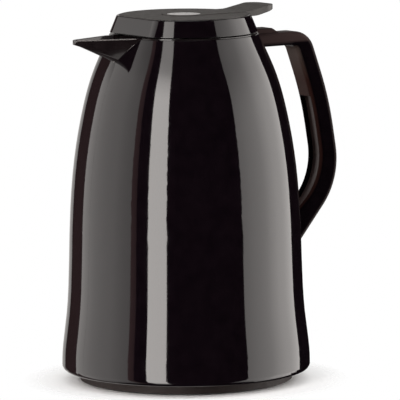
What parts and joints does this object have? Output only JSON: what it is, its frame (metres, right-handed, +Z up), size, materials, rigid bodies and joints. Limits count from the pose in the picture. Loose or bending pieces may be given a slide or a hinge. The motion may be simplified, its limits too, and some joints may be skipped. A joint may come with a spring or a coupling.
{
  "type": "thermal jug",
  "caption": "Glossy vacuum jug with a flared foot, pointed open spout, closed D-shaped handle, and a screw-in stopper lid whose thumb lever lifts a pouring valve.",
  "frame": {"origin": "on the jug's axis, in the plane that its rubber foot ring stands on", "axes": "+Z up along the jug's axis, +X towards the handle, -X towards the spout, +Y to the side"},
  "size_m": [0.2152, 0.17, 0.2545],
  "materials": {
    "gloss_shell": "high gloss, near-black with a brown tint",
    "gloss_collar": "high gloss black",
    "satin_lid": "satin anthracite",
    "base_plastic": "matt brown-black",
    "handle_lining": "matt black",
    "badge_metal": "bright, plain",
    "flask_glass": "silvered",
    "seal_rubber": "matt",
    "white_silicone": "matt, food grade",
    "stopper_plastic": "satin black",
    "valve_plastic": "satin white",
    "steel": "bright"
  },
  "bodies": {
    "jug": {"outer_casing": "gloss_shell", "pouring_collar": "gloss_collar", "base_cap": "base_plastic", "base_foot_ring": "seal_rubber", "flask_cushion": "seal_rubber", "flask_outer_glass": "flask_glass", "flask_inner_glass": "flask_glass", "flask_spacer_pads": "seal_rubber", "flask_neck_gasket": "white_silicone", "handle": "gloss_shell", "handle_grip_insert": "handle_lining", "handle_thumb_rest": "gloss_shell", "handle_screws": "steel"},
    "neck_seal": {"stopper_gasket": "white_silicone"},
    "closure": {"stopper_body": "stopper_plastic", "valve_seat": "valve_plastic", "lid_shell": "gloss_shell", "lid_top_plate": "satin_lid", "lever_pin": "steel", "lid_screws": "steel", "valve_spring": "steel"},
    "lever": {"press_lever": "satin_lid", "lid_badge": "badge_metal"},
    "valve": {"valve_stem": "valve_plastic", "valve_seal": "white_silicone", "stem_cap": "valve_plastic"}
  },
  "joints": [
    {"name": "closure_lift", "type": "slide", "parent": "jug", "child": "neck_seal", "axis": [0, 0, 1], "range_m": [0, 0.07]},
    {"name": "closure_turn", "type": "hinge", "parent": "neck_seal", "child": "closure", "pos_m": [0, 0, 0.238], "axis": [0, 0, 1], "range_deg": [0, 720]},
    {"name": "lever_press", "type": "hinge", "parent": "closure", "child": "lever", "pos_m": [0.025, 0, 0.2443], "axis": [0, 1, 0], "range_deg": [0, 8], "stiffness_Nm_per_rad": 0.6, "springref_deg": -8.59},
    {"name": "valve_lift", "type": "slide", "parent": "closure", "child": "valve", "axis": [0, 0, 1], "range_m": [0, 0.0036], "deforming": ["valve_spring"]}
  ],
  "couplings": [
    {"joint": "closure_lift", "follows": "closure_turn", "m_per_rad": 0.0055704},
    {"joint": "valve_lift", "follows": "lever_press", "m_per_rad": 0.025}
  ]
}
